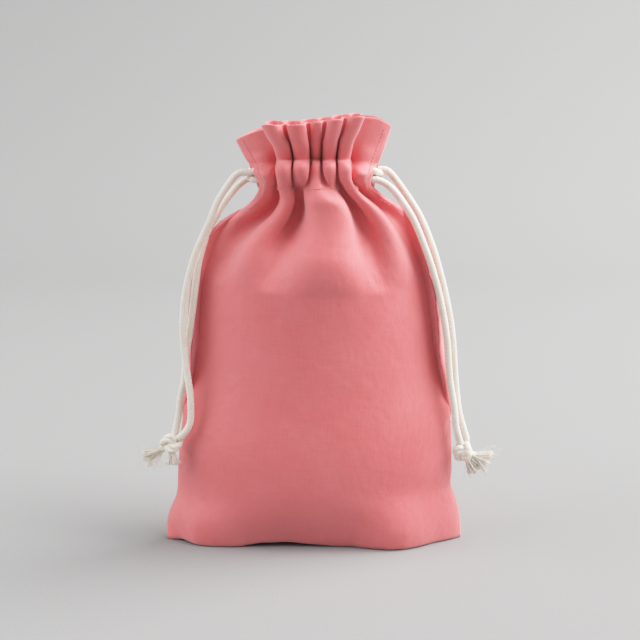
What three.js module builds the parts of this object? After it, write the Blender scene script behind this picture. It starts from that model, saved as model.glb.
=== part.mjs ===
// A drawstring gift sack in soft cotton, standing up and drawn closed at the neck.
// Two cloth panels are sewn down the sides and along the bottom. Each panel is folded
// over at the top into a cord channel with a frill above it. Two drawcords run round
// both channels, one coming out on each side, and each ends in a knot with frayed ends.
// Millimetres, +Z up, front of the sack towards -Y, origin at the middle of its base.
import * as THREE from "three";
import { mergeVertices } from "three/addons/utils/BufferGeometryUtils.js";

// Driving dimensions
const PANEL_TOP = 237.6; // where the cloth meets the lower stitching of the channel
const WALL = 1.6; // cloth and its hems, as one wall
const SEAM_GAP = 0.15; // each panel stops this far short of the seam plane
const CLEARANCE = 0.3; // between pieces that touch in the real sack
const CHANNEL_BOTTOM = 239;
const CHANNEL_TOP = 255;
const CHANNEL_WALL = 0.8;
const CHANNEL_DEPTH = 9.4;
const CHANNEL_CENTRE = 10.5; // distance of each channel from the seam plane
const NECK_HALF_WIDTH = 37;
const FRILL_BOTTOM = 256.4;
const FRILL_HALF_WIDTH = 50;
const CORD_DIAMETER = 4.5;
const CORD_SIDES = 8;
const CORD_STEP = 11; // length of one straight facet of a cord tube
const UPPER_CORD = 248.8; // heights at which the two cords pass through a channel
const LOWER_CORD = 243.4;
const CORD_START = 14; // a free cord begins here inside the channel
const CORD_SPLIT = 46; // the pulled run ends here and the hanging strand begins
const TURN_REACH = 7; // how far a cord stands out as it turns round the far slit
const KNOT_RADIUS = 7.2;
const THREAD_RADIUS = 0.35;

// Outline of the body: [height, size] pairs joined by smooth curves
const HALF_WIDTH = [
  [0, 99], [8, 98.5], [22, 95], [36, 91.5], [60, 90], [95, 88], [141, 84.5],
  [168, 82], [188, 76.5], [199, 71], [218, 55.5], [PANEL_TOP, NECK_HALF_WIDTH],
];
const HALF_DEPTH = [
  [0, 30], [15, 33], [50, 38], [90, 39.5], [140, 38], [180, 34], [210, 26], [PANEL_TOP, 15.2],
];
// The plan of the body is a soft lens low down and nearly a rectangle at the neck
const PLAN_POWER = [[0, 2.2], [190, 2.2], [PANEL_TOP, 5]];
const PLAN_FULLNESS = 0.8;
// Upper edge of the frill: [share of the half-width, height]
const FRILL_EDGE = [
  [-1, 267], [-0.66, 277], [-0.45, 280], [-0.2, 278], [0.2, 282], [0.6, 284.5], [0.8, 282], [1, 276],
];

// Hanging routes of the four strands, from the slit down to the knot
const LEFT_FRONT_ROUTE = [
  [-49, -10.7, 247.1], [-55, -11.5, 240.5], [-62, -12.5, 229.4], [-67.2, -13, 217],
  [-76.4, -13, 196.6], [-82.5, -13, 176], [-85.2, -13.4, 158], [-85.6, -14, 141],
  [-84.4, -14.6, 128], [-82.8, -15, 114.7], [-81.4, -15.4, 103.4], [-81, -15.8, 90],
  [-82.4, -15.8, 81.5], [-86.6, -15, 75.2],
];
const LEFT_BACK_ROUTE = [
  [-49.5, 9.8, 238.2], [-58, 6.5, 228.3], [-65, 1, 217], [-69.6, -3.4, 208],
  [-74.7, -7.4, 191], [-76.8, -8.3, 178], [-78.8, -8.6, 163], [-81.8, -8.8, 142],
  [-84.3, -9.2, 127], [-85.6, -9.6, 112], [-88.2, -10, 99.5], [-89.6, -10.6, 88],
  [-91.6, -11.4, 78.4],
];
const RIGHT_FRONT_ROUTE = [
  [49.5, -10.4, 238.4], [56.5, -10, 230], [64.7, -9.6, 217], [73.4, -9.3, 196],
  [79.6, -9.2, 177], [84.4, -9.2, 157], [87.6, -9.2, 137], [89.7, -9.2, 112],
  [92.6, -9.6, 94], [94.4, -9.2, 79], [96.6, -8, 70.4],
];
const RIGHT_BACK_ROUTE = [
  [49, 10.2, 247], [57, 8.4, 237.6], [68.7, 3.6, 220], [77.6, -0.6, 199],
  [83.8, -2.8, 178], [88.4, -3.8, 158], [91.4, -4.2, 139], [93.6, -4.4, 112],
  [96.2, -4.2, 90], [99.6, -4.6, 77], [101.6, -5.6, 70],
];

// Knots and the frayed ends that leave them: [centre], then [direction, length, widest radius]
const CORDS = [
  {
    side: "left", sign: -1, frontHeight: UPPER_CORD, backHeight: LOWER_CORD,
    frontRoute: LEFT_FRONT_ROUTE, backRoute: LEFT_BACK_ROUTE, knot: [-94.6, -12.8, 69],
    tassels: [[[-0.72, -0.12, -0.68], 16, 6.2], [[0.14, -0.2, -0.97], 8, 3.8]],
  },
  {
    side: "right", sign: 1, frontHeight: LOWER_CORD, backHeight: UPPER_CORD,
    frontRoute: RIGHT_FRONT_ROUTE, backRoute: RIGHT_BACK_ROUTE, knot: [99.6, -6.6, 61.8],
    tassels: [[[0.86, -0.1, -0.3], 13, 5.6], [[0.5, -0.1, -0.86], 10, 4.2]],
  },
];

const cottonCloth = new THREE.MeshStandardMaterial({ color: 0xd9878c, roughness: 0.9, metalness: 0 });
const cottonCord = new THREE.MeshStandardMaterial({ color: 0xe6dccc, roughness: 0.85, metalness: 0 });
const sewingThread = new THREE.MeshStandardMaterial({ color: 0xc9696f, roughness: 0.8, metalness: 0 });

const sack = new THREE.Group();
sack.name = "fabric_gift_sack";

function addPiece(name, geometry, material, parent = sack) {
  const piece = new THREE.Mesh(geometry, material);
  piece.name = name;
  parent.add(piece);
  return piece;
}

// Value at `x` on a smooth curve through [x, value] pairs
function along(pairs, x) {
  const slope = (i) => {
    const before = pairs[Math.max(i - 1, 0)];
    const after = pairs[Math.min(i + 1, pairs.length - 1)];
    return (after[1] - before[1]) / (after[0] - before[0]);
  };
  let i = 0;
  while (i < pairs.length - 2 && x > pairs[i + 1][0]) i += 1;
  const [x0, y0] = pairs[i];
  const [x1, y1] = pairs[i + 1];
  const span = x1 - x0;
  const t = THREE.MathUtils.clamp((x - x0) / span, 0, 1);
  const t2 = t * t;
  const t3 = t2 * t;
  return (
    (2 * t3 - 3 * t2 + 1) * y0 + (t3 - 2 * t2 + t) * span * slope(i) +
    (3 * t2 - 2 * t3) * y1 + (t3 - t2) * span * slope(i + 1)
  );
}

// Closed shell between an outer and an inner surface, each a function of a column and a row
function shellGeometry(outer, inner, columns, rows) {
  const positions = [];
  const faces = [];
  const perLayer = (columns + 1) * (rows + 1);
  const at = (layer, column, row) => layer * perLayer + row * (columns + 1) + column;
  const quad = (a, b, c, d) => faces.push([a, b, c], [a, c, d]);
  for (const surface of [outer, inner]) {
    for (let row = 0; row <= rows; row += 1) {
      for (let column = 0; column <= columns; column += 1) {
        positions.push(...surface(column / columns, row / rows));
      }
    }
  }
  for (let row = 0; row < rows; row += 1) {
    for (let column = 0; column < columns; column += 1) {
      const corners = [[column, row], [column + 1, row], [column + 1, row + 1], [column, row + 1]];
      quad(...corners.map(([c, r]) => at(0, c, r)));
      quad(...corners.reverse().map(([c, r]) => at(1, c, r)));
    }
  }
  for (let column = 0; column < columns; column += 1) {
    quad(at(0, column + 1, 0), at(0, column, 0), at(1, column, 0), at(1, column + 1, 0));
    quad(at(0, column, rows), at(0, column + 1, rows), at(1, column + 1, rows), at(1, column, rows));
  }
  for (let row = 0; row < rows; row += 1) {
    quad(at(0, 0, row), at(0, 0, row + 1), at(1, 0, row + 1), at(1, 0, row));
    quad(at(0, columns, row + 1), at(0, columns, row), at(1, columns, row), at(1, columns, row + 1));
  }
  const geometry = new THREE.BufferGeometry();
  geometry.setAttribute("position", new THREE.Float32BufferAttribute(positions, 3));
  geometry.setIndex(faces.flat());
  return withoutCollapsedFaces(mergeVertices(geometry, 1e-3));
}

function withoutCollapsedFaces(geometry) {
  const index = geometry.getIndex().array;
  const kept = [];
  for (let i = 0; i < index.length; i += 3) {
    const [a, b, c] = [index[i], index[i + 1], index[i + 2]];
    if (a !== b && b !== c && c !== a) kept.push(a, b, c);
  }
  geometry.setIndex(kept);
  geometry.computeVertexNormals();
  return geometry;
}

// Turns a front shell into the matching back one: half a turn about Z, then mirrored in X
function backCopy(surface) {
  return (s, t) => {
    const [x, y, z] = surface(1 - s, t);
    return [x, -y, z];
  };
}

// A panel: half of the flat base, then the front wall up to the neck
const BASE_ROWS = 2;
const WALL_ROWS = 16;
const PANEL_COLUMNS = 24;

function panelSurface(inset) {
  return (s, t) => {
    const across = Math.sin((s - 0.5) * Math.PI);
    const row = t * (BASE_ROWS + WALL_ROWS);
    const onBase = Math.min(row / BASE_ROWS, 1);
    const upWall = Math.max(row - BASE_ROWS, 0) / WALL_ROWS;
    const z = Math.max(PANEL_TOP * upWall, inset);
    const width = along(HALF_WIDTH, z) - inset;
    const depth = along(HALF_DEPTH, z) - inset;
    const bulge = (1 - Math.abs(across) ** along(PLAN_POWER, z)) ** PLAN_FULLNESS;
    return [across * width, -SEAM_GAP - depth * bulge * onBase, z];
  };
}

// A frill: a gathered strip that widens and leans out from the channel, flat at both ends
const FRILL_ROWS = 4;
const FRILL_COLUMNS = 24;
const FRILL_LEAN = 1.5;

function frillSurface(inset) {
  return (s, t) => {
    const across = (s - 0.5) * 2;
    const halfWidth = THREE.MathUtils.lerp(NECK_HALF_WIDTH, FRILL_HALF_WIDTH, t) - inset;
    const bulge = (1 - across ** 4) ** PLAN_FULLNESS;
    const depth = CHANNEL_CENTRE + FRILL_LEAN * t - inset;
    const wing = 2.4 - inset;
    const z = THREE.MathUtils.lerp(FRILL_BOTTOM, along(FRILL_EDGE, across), t);
    return [across * halfWidth, -wing - depth * bulge, z];
  };
}

function addPanelsAndFrills() {
  const shells = [
    ["panel", panelSurface, PANEL_COLUMNS, BASE_ROWS + WALL_ROWS],
    ["frill", frillSurface, FRILL_COLUMNS, FRILL_ROWS],
  ];
  for (const [name, surface, columns, rows] of shells) {
    const outer = surface(0);
    const inner = surface(WALL);
    addPiece(`front_${name}`, shellGeometry(outer, inner, columns, rows), cottonCloth);
    addPiece(`back_${name}`, shellGeometry(backCopy(outer), backCopy(inner), columns, rows), cottonCloth);
  }
}

// A flat sleeve with rounded edges that the cords run through
function roundedOutline(path, halfWidth, halfHeight, radius) {
  const corners = [
    [halfWidth - radius, halfHeight - radius, 0],
    [radius - halfWidth, halfHeight - radius, 1],
    [radius - halfWidth, radius - halfHeight, 2],
    [halfWidth - radius, radius - halfHeight, 3],
  ];
  for (const [x, y, quarter] of corners) {
    path.absarc(x, y, radius, (quarter * Math.PI) / 2, ((quarter + 1) * Math.PI) / 2);
  }
  path.closePath();
  return path;
}

function addChannels() {
  const halfDepth = CHANNEL_DEPTH / 2;
  const halfHeight = (CHANNEL_TOP - CHANNEL_BOTTOM) / 2;
  const radius = 3;
  const section = roundedOutline(new THREE.Shape(), halfDepth, halfHeight, radius);
  section.holes.push(
    roundedOutline(
      new THREE.Path(), halfDepth - CHANNEL_WALL, halfHeight - CHANNEL_WALL, radius - CHANNEL_WALL,
    ),
  );
  const sleeve = new THREE.ExtrudeGeometry(section, {
    depth: 2 * NECK_HALF_WIDTH, bevelEnabled: false, curveSegments: 3,
  });
  sleeve.translate(0, 0, -NECK_HALF_WIDTH);
  // The section's x becomes the sack's y, its y the sack's z and its depth the sack's x
  sleeve.applyMatrix4(new THREE.Matrix4().set(0, 0, 1, 0, 1, 0, 0, 0, 0, 1, 0, 0, 0, 0, 0, 1));
  for (const [side, sign] of [["front", -1], ["back", 1]]) {
    const channel = addPiece(`${side}_channel`, sleeve, cottonCloth);
    channel.position.set(0, sign * CHANNEL_CENTRE, (CHANNEL_BOTTOM + CHANNEL_TOP) / 2);
  }
}

// The stretch of a longer curve between two distances along it
class Stretch extends THREE.Curve {
  constructor(whole, from, to) {
    super();
    this.whole = whole;
    this.from = from / whole.getLength();
    this.to = to / whole.getLength();
  }

  getPoint(t, target = new THREE.Vector3()) {
    return this.whole.getPointAt(THREE.MathUtils.lerp(this.from, this.to, t), target);
  }
}

function smoothCurve(points) {
  return new THREE.CatmullRomCurve3(points.map((p) => new THREE.Vector3(...p)), false, "centripetal");
}

function tubeGeometry(curve, radius, sides, steps) {
  const section = new THREE.Shape();
  for (let i = 0; i < sides; i += 1) {
    const angle = (i / sides) * 2 * Math.PI;
    const corner = [radius * Math.cos(angle), radius * Math.sin(angle)];
    if (i === 0) section.moveTo(...corner);
    else section.lineTo(...corner);
  }
  section.closePath();
  return new THREE.ExtrudeGeometry(section, { extrudePath: curve, steps, bevelEnabled: false });
}

function cordGeometry(curve) {
  const steps = Math.max(2, Math.round(curve.getLength() / CORD_STEP));
  return tubeGeometry(curve, CORD_DIAMETER / 2, CORD_SIDES, steps);
}

// Distance along the curve at which it is `reach` away from the middle of the sack
function distanceAtReach(curve, reach) {
  const samples = 2000;
  for (let i = 0; i <= samples; i += 1) {
    if (Math.abs(curve.getPointAt(i / samples).x) >= reach) return (i / samples) * curve.getLength();
  }
  return curve.getLength();
}

// One free end of a drawcord: straight out of the channel, then hanging down to the knot
function addFreeCord(side, face, sign, y, height, route) {
  const inChannel = [
    [sign * CORD_START, y, height],
    [sign * (NECK_HALF_WIDTH - 13), y, height],
    [sign * (NECK_HALF_WIDTH - 3), y, height],
    [sign * (NECK_HALF_WIDTH + 5), y, height - 0.6],
  ];
  const whole = smoothCurve([...inChannel, ...route]);
  const split = distanceAtReach(whole, CORD_SPLIT);
  const run = new Stretch(whole, 0, split);
  const strand = new Stretch(whole, split + CLEARANCE, whole.getLength());
  addPiece(`${side}_${face}_run`, cordGeometry(run), cottonCord);
  addPiece(`${side}_${face}_strand`, cordGeometry(strand), cottonCord);
}

// The rest of a drawcord: through one channel, round the far slit and back through the other
function addCordLoop(side, sign, frontHeight, backHeight) {
  const start = sign * (CORD_START - CLEARANCE);
  const slit = -sign * NECK_HALF_WIDTH;
  const points = [[start, -CHANNEL_CENTRE, frontHeight], [0, -CHANNEL_CENTRE, frontHeight]];
  const turnSteps = 6;
  points.push([slit * 0.6, -CHANNEL_CENTRE, frontHeight]);
  for (let i = 0; i <= turnSteps; i += 1) {
    const share = i / turnSteps;
    const angle = share * Math.PI;
    const x = slit - sign * TURN_REACH * Math.sin(angle);
    const z = THREE.MathUtils.lerp(frontHeight, backHeight, THREE.MathUtils.smoothstep(share, 0, 1));
    points.push([x, -CHANNEL_CENTRE * Math.cos(angle), z]);
  }
  points.push([slit * 0.6, CHANNEL_CENTRE, backHeight]);
  points.push([0, CHANNEL_CENTRE, backHeight], [start, CHANNEL_CENTRE, backHeight]);
  const curve = smoothCurve(points);
  const steps = Math.round(curve.getLength() / (CORD_STEP / 2));
  addPiece(`${side}_cord_loop`, tubeGeometry(curve, CORD_DIAMETER / 2, CORD_SIDES, steps), cottonCord);
}

// A knot and the frayed ends that stick out of it
function addKnot(side, centre, tassels) {
  const knot = new THREE.Group();
  knot.position.set(...centre);
  sack.add(knot);
  addPiece(`${side}_knot`, new THREE.SphereGeometry(KNOT_RADIUS, 12, 8), cottonCord, knot);
  tassels.forEach(([direction, length, radius], i) => {
    const axis = new THREE.Vector3(...direction).normalize();
    const geometry = new THREE.CylinderGeometry(radius, CORD_DIAMETER / 2, length, 10);
    const tassel = addPiece(`${side}_tassel_${i + 1}`, geometry, cottonCord, knot);
    tassel.quaternion.setFromUnitVectors(new THREE.Vector3(0, 1, 0), axis);
    tassel.position.copy(axis).multiplyScalar(KNOT_RADIUS + CLEARANCE + length / 2);
  });
}

function addDrawcords() {
  for (const cord of CORDS) {
    const { side, sign, frontHeight, backHeight } = cord;
    addFreeCord(side, "front", sign, -CHANNEL_CENTRE, frontHeight, cord.frontRoute);
    addFreeCord(side, "back", sign, CHANNEL_CENTRE, backHeight, cord.backRoute);
    addCordLoop(side, sign, frontHeight, backHeight);
    addKnot(side, cord.knot, cord.tassels);
  }
}

// Sewing threads: down each side, along the bottom, across each channel and beside each slit
function addThread(name, points, steps) {
  const curve = points.length === 2
    ? new THREE.LineCurve3(...points.map((p) => new THREE.Vector3(...p)))
    : smoothCurve(points);
  addPiece(name, tubeGeometry(curve, THREAD_RADIUS, 5, steps), sewingThread);
}

function addThreads() {
  const insideSeam = WALL + 1.2;
  const seamHeights = [7, 22, 40, 66, 100, 134, 160, 180, 194, 206, 218, 230];
  for (const [side, sign] of [["left", -1], ["right", 1]]) {
    const points = seamHeights.map((z) => [sign * (along(HALF_WIDTH, z) - insideSeam), 0, z]);
    addThread(`${side}_seam_thread`, points, 20);
  }
  const floorThread = WALL + CLEARANCE + THREAD_RADIUS;
  addThread("bottom_seam_thread", [[-93, 0, floorThread], [93, 0, floorThread]], 1);
  const lower = (PANEL_TOP + CHANNEL_BOTTOM) / 2;
  const upper = (CHANNEL_TOP + FRILL_BOTTOM) / 2;
  const reach = NECK_HALF_WIDTH - 3;
  for (const [face, sign] of [["front", -1], ["back", 1]]) {
    const y = sign * (CHANNEL_CENTRE + 2.5);
    addThread(`${face}_lower_stitch`, [[-reach, y, lower], [reach, y, lower]], 1);
    addThread(`${face}_upper_stitch`, [[-reach, y, upper], [reach, y, upper]], 1);
    for (const [side, column] of [["left", 0.07], ["right", 0.93]]) {
      const onFrill = (t) => {
        const [x, frontY, z] = frillSurface(-CLEARANCE - THREAD_RADIUS - 0.2)(column, t);
        return [x, -sign * frontY, z];
      };
      addThread(`${face}_${side}_slit_stitch`, [onFrill(0.08), onFrill(0.8)], 1);
    }
  }
}

addPanelsAndFrills();
addChannels();
addDrawcords();
addThreads();

export default sack;
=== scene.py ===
"""Looks of the fabric gift sack: simulated cloth, braided drawcords, knots, frayed ends and stitching."""
import math

import bpy
import numpy as np
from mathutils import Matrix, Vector


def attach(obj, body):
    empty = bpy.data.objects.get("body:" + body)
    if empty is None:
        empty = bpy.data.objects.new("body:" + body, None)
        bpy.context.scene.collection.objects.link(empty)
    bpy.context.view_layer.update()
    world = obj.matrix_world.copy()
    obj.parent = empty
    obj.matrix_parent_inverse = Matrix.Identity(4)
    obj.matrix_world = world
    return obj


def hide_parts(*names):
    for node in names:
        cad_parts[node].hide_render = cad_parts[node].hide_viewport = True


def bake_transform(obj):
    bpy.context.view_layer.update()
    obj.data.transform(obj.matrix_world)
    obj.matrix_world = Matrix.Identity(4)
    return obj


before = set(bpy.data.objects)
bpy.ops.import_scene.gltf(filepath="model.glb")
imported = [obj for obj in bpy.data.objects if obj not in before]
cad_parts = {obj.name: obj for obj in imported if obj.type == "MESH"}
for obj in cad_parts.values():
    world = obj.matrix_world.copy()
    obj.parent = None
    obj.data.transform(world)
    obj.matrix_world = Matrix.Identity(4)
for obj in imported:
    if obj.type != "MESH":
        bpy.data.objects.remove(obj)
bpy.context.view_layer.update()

MM = 0.001

# Flat cloth, in millimetres: columns run across a panel, rows run up it from the bottom seam
CLOTH_HALF = 100.0
BODY_LENGTH = 274.0
CHANNEL_LENGTH = 19.5
FRILL_LENGTH = 28.0
SLIT_START = 262.0
COLUMNS = 88
ROWS = 132
CLOTH_THICKNESS = 0.7

# Outline of the standing sack as (height, size) pairs: its left and right edges, and half its depth
NECK_HEIGHT = 238.5
GATHER_HEIGHT = 255.5
LEFT_EDGE = [
    (0, 99.5), (6, 99.5), (19, 97.3), (31, 92.8), (47, 91.6), (62, 90.6), (88, 87.5), (116, 85.4),
    (143, 83.4), (157, 82), (171, 79.6), (184, 76), (197, 70.5), (209.5, 59.5), (222.5, 45),
    (234, 36.5), (240, 35), (247, 37.5), (GATHER_HEIGHT, 41),
]
RIGHT_EDGE = [
    (0, 99.5), (6, 99.5), (19, 98), (29, 95.2), (36, 92.6), (47, 92.9), (62, 92.6), (88, 91.4),
    (116, 88), (143, 85), (157, 82.8), (171, 79.4), (184, 75.6), (197, 70.8), (209.5, 64.5),
    (222.5, 53.5), (234, 41.5), (240, 37), (247, 37.5), (GATHER_HEIGHT, 41),
]
HALF_DEPTH = [
    (0, 27), (15, 31.5), (50, 36.5), (90, 38), (140, 38.5), (168, 39), (184, 38.5), (194, 35.5),
    (203, 29.5), (213, 23), (225, 18.5), (NECK_HEIGHT, 18), (246, 18), (251, 17), (253.8, 13.5),
    (GATHER_HEIGHT, 8.5),
]
# The front edge of the base bulges out in two lobes, and arches off the floor between them
LOBES = (
    [-100, -92, -78, -57, -40, -20, 5, 25, 38, 48, 58, 68, 80, 100],
    [1, 1.15, 1.45, 1.12, 0.9, 0.8, 0.8, 0.86, 1.12, 1.32, 1.42, 1.35, 1.1, 1],
)
ARCH = ([-100, -96, -84, -72, -48, -34, -14, 4, 18, 100], [4.5, 4, 1.2, 0, 0, 2.6, 3, 1, 0, 0])
# How far the slit's edges stand off the seam plane, where they make room for the cords
SLIT_GAP = [
    (0, 0), (222, 0), (229, 3), (NECK_HEIGHT, 12), (243, 14), (249, 14), (252.5, 11.5),
    (GATHER_HEIGHT, 6.5),
]

# Cords, in metres: the same routes as the CAD tubes
CORD_DIAMETER = 0.0045
CHANNEL_CENTRE = 0.0105
NECK_HALF_WIDTH = 0.037
CORD_START = 0.014
UPPER_CORD = 0.2488
LOWER_CORD = 0.2434
LEFT_FRONT_ROUTE = [
    (-.049, -.0107, .2471), (-.055, -.0115, .2405), (-.062, -.0125, .2294), (-.0672, -.013, .217),
    (-.0764, -.013, .1966), (-.0825, -.013, .176), (-.0852, -.0134, .158), (-.0856, -.014, .141),
    (-.0844, -.0146, .128), (-.0828, -.015, .1147), (-.0814, -.0154, .1034), (-.081, -.0158, .09),
    (-.0824, -.0158, .0815), (-.0866, -.015, .0752),
]
LEFT_BACK_ROUTE = [
    (-.0495, .0098, .2382), (-.058, .0065, .2283), (-.065, .001, .217), (-.0696, -.0034, .208),
    (-.0747, -.0074, .191), (-.0768, -.0083, .178), (-.0788, -.0086, .163), (-.0818, -.0088, .142),
    (-.0843, -.0092, .127), (-.0856, -.0096, .112), (-.0882, -.01, .0995), (-.0896, -.0106, .088),
    (-.0916, -.0114, .0784),
]
RIGHT_FRONT_ROUTE = [
    (.0495, -.0104, .2384), (.0565, -.01, .23), (.0647, -.0096, .217), (.0734, -.0093, .196),
    (.0796, -.0092, .177), (.0844, -.0092, .157), (.0876, -.0092, .137), (.0897, -.0092, .112),
    (.0926, -.0096, .094), (.0944, -.0092, .079), (.0966, -.008, .0704),
]
RIGHT_BACK_ROUTE = [
    (.049, .0102, .247), (.057, .0084, .2376), (.0687, .0036, .22), (.0776, -.0006, .199),
    (.0838, -.0028, .178), (.0884, -.0038, .158), (.0914, -.0042, .139), (.0936, -.0044, .112),
    (.0962, -.0042, .09), (.0996, -.0046, .077), (.1016, -.0056, .07),
]


# ---------- small helpers ----------

def unit(v):
    return v / np.maximum(np.linalg.norm(v, axis=-1, keepdims=True), 1e-12)


def smooth_value(pairs, x):
    """Value at x on a smooth curve through (x, value) pairs."""
    xs, ys = np.array(pairs, float).T
    slopes = np.gradient(ys, xs)
    x = np.clip(x, xs[0], xs[-1])
    i = np.clip(np.searchsorted(xs, x, side="right") - 1, 0, len(xs) - 2)
    span = xs[i + 1] - xs[i]
    t = (x - xs[i]) / span
    return ((2 * t**3 - 3 * t**2 + 1) * ys[i] + (t**3 - 2 * t**2 + t) * span * slopes[i]
            + (3 * t**2 - 2 * t**3) * ys[i + 1] + (t**3 - t**2) * span * slopes[i + 1])


def ease(t):
    t = np.clip(t, 0, 1)
    return t * t * (3 - 2 * t)


def smooth_path(points, step):
    """Evenly spaced points on a centripetal Catmull-Rom curve."""
    p = np.array(points, float)
    p = np.vstack([2 * p[0] - p[1], p, 2 * p[-1] - p[-2]])
    fine = []
    for i in range(1, len(p) - 2):
        gaps = [max(np.linalg.norm(p[i + k] - p[i + k - 1]), 1e-9) for k in range(3)]
        knots = np.cumsum([0] + [gap ** 0.5 for gap in gaps])
        t0 = -max(np.linalg.norm(p[i] - p[i - 1]), 1e-9) ** 0.5
        t = np.array([t0, 0, knots[1], knots[2]])
        x = np.linspace(0, knots[1], 24, endpoint=False)[:, None]
        a1 = ((t[1] - x) * p[i - 1] + (x - t[0]) * p[i]) / (t[1] - t[0])
        a2 = ((t[2] - x) * p[i] + (x - t[1]) * p[i + 1]) / (t[2] - t[1])
        a3 = ((t[3] - x) * p[i + 1] + (x - t[2]) * p[i + 2]) / (t[3] - t[2])
        b1 = ((t[2] - x) * a1 + (x - t[0]) * a2) / (t[2] - t[0])
        b2 = ((t[3] - x) * a2 + (x - t[1]) * a3) / (t[3] - t[1])
        fine.append(((t[2] - x) * b1 + (x - t[1]) * b2) / (t[2] - t[1]))
    fine = np.vstack(fine + [p[-2:-1]])
    arc = np.concatenate([[0], np.cumsum(np.linalg.norm(np.diff(fine, axis=0), axis=1))])
    count = max(2, int(round(arc[-1] / step)))
    even = np.linspace(0, arc[-1], count + 1)
    return np.stack([np.interp(even, arc, fine[:, k]) for k in range(3)], 1)


def path_frames(path):
    """Tangents and two normals that don't twist along the path."""
    tangents = unit(np.gradient(path, axis=0))
    side = np.cross(tangents[0], [0.0, 1.0, 0.0])
    if np.linalg.norm(side) < 0.1:
        side = np.cross(tangents[0], [1.0, 0.0, 0.0])
    sides = []
    for t in tangents:
        side = unit(side - t * (side @ t))
        sides.append(side)
    sides = np.array(sides)
    return tangents, sides, np.cross(tangents, sides)


def add_mesh(name, vertices, faces, material, smooth=True):
    mesh = bpy.data.meshes.new(name)
    mesh.from_pydata(np.asarray(vertices).tolist(), [], [list(map(int, f)) for f in faces])
    mesh.materials.append(material)
    if smooth:
        mesh.shade_smooth()
    piece = bpy.data.objects.new(name, mesh)
    bpy.context.scene.collection.objects.link(piece)
    return piece


def tube_mesh(path, radius, sides, closed_ends=True):
    """Vertices and faces of a tube. radius is a number, or an array with a value per ring and side."""
    path = np.asarray(path, float)
    _, side, up = path_frames(path)
    angle = np.arange(sides) / sides * 2 * math.pi
    r = np.broadcast_to(np.asarray(radius, float), (len(path), sides))
    ring = side[:, None] * np.cos(angle)[None, :, None] + up[:, None] * np.sin(angle)[None, :, None]
    vertices = (path[:, None] + ring * r[..., None]).reshape(-1, 3)
    faces = []
    for i in range(len(path) - 1):
        for j in range(sides):
            k = (j + 1) % sides
            faces.append((i * sides + j, i * sides + k, (i + 1) * sides + k, (i + 1) * sides + j))
    if closed_ends:
        last = (len(path) - 1) * sides
        faces.append(tuple(range(sides - 1, -1, -1)))
        faces.append(tuple(last + j for j in range(sides)))
    return vertices, faces


def join_parts(parts):
    """One mesh from several (vertices, faces) parts."""
    vertices, faces, start = [], [], 0
    for v, f in parts:
        vertices.append(np.asarray(v))
        faces += [tuple(i + start for i in face) for face in f]
        start += len(v)
    return np.vstack(vertices), faces


# ---------- materials ----------

class Nodes:
    """Short calls for building one material's node tree."""

    def __init__(self, name):
        self.material = bpy.data.materials.new(name)
        self.material.use_nodes = True
        self.tree = self.material.node_tree
        self.shader = self.tree.nodes["Principled BSDF"]

    def add(self, kind, inputs=None, **settings):
        node = self.tree.nodes.new(kind)
        for key, value in settings.items():
            setattr(node, key, value)
        for key, value in (inputs or {}).items():
            if isinstance(value, bpy.types.NodeSocket):
                self.tree.links.new(value, node.inputs[key])
            else:
                node.inputs[key].default_value = value
        return node

    def math(self, operation, a, b=0.0):
        return self.add("ShaderNodeMath", {0: a, 1: b}, operation=operation).outputs[0]

    def noise(self, vector, scale, detail=3.0, roughness=0.55):
        inputs = {"Vector": vector, "Scale": scale, "Detail": detail, "Roughness": roughness}
        return self.add("ShaderNodeTexNoise", inputs).outputs[0]

    def stretch(self, vector, scale):
        return self.add("ShaderNodeMapping", {"Vector": vector, "Scale": scale}).outputs[0]

    def spread(self, value, low, high, to_low=0.0, to_high=1.0):
        inputs = {0: value, 1: low, 2: high, 3: to_low, 4: to_high}
        return self.add("ShaderNodeMapRange", inputs).outputs[0]

    def mix(self, factor, a, b, blend="MIX"):
        node = self.add("ShaderNodeMix", data_type="RGBA", blend_type=blend)
        for socket, value in ((node.inputs[0], factor), (node.inputs[6], a), (node.inputs[7], b)):
            if isinstance(value, bpy.types.NodeSocket):
                self.tree.links.new(value, socket)
            else:
                socket.default_value = value
        return node.outputs[2]

    def bump(self, height, distance, strength=1.0, below=None):
        inputs = {"Height": height, "Distance": distance, "Strength": strength}
        if below is not None:
            inputs["Normal"] = below
        return self.add("ShaderNodeBump", inputs).outputs[0]

    def link(self, socket, name):
        self.tree.links.new(socket, self.shader.inputs[name])


CLOTH_COLOR = (0.87, 0.21, 0.22, 1)
# The deep colour gives random darker patches, and painted shade in the gaps between the yarns
CLOTH_DEEP_AND_GAP_SHADE = (0.84, 0.155, 0.165, 1)
CLOTH_PALE = (0.89, 0.33, 0.35, 1)
CORD_COLOR = (0.90, 0.85, 0.77, 1)
# The shade colour gives random darker patches, and painted shade in the grooves of the braid
CORD_SHADE = (0.72, 0.61, 0.49, 1)
CORD_FIBRE = (0.94, 0.9, 0.82, 1)
THREAD_COLOR = (0.90, 0.50, 0.50, 1)
THREAD_SHADE = (0.66, 0.2, 0.21, 1)
# Painted shade and light on the studio paper: darker near the camera, lighter towards the wall
PAPER_NEAR_SHADED, PAPER_FAR_LIT = (0.28, 0.28, 0.28, 1), (0.355, 0.355, 0.355, 1)
PAPER_FIBRE = (0.70, 0.70, 0.70, 1)
WEAVE_PITCH = 0.55  # millimetres between neighbouring yarns


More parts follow.
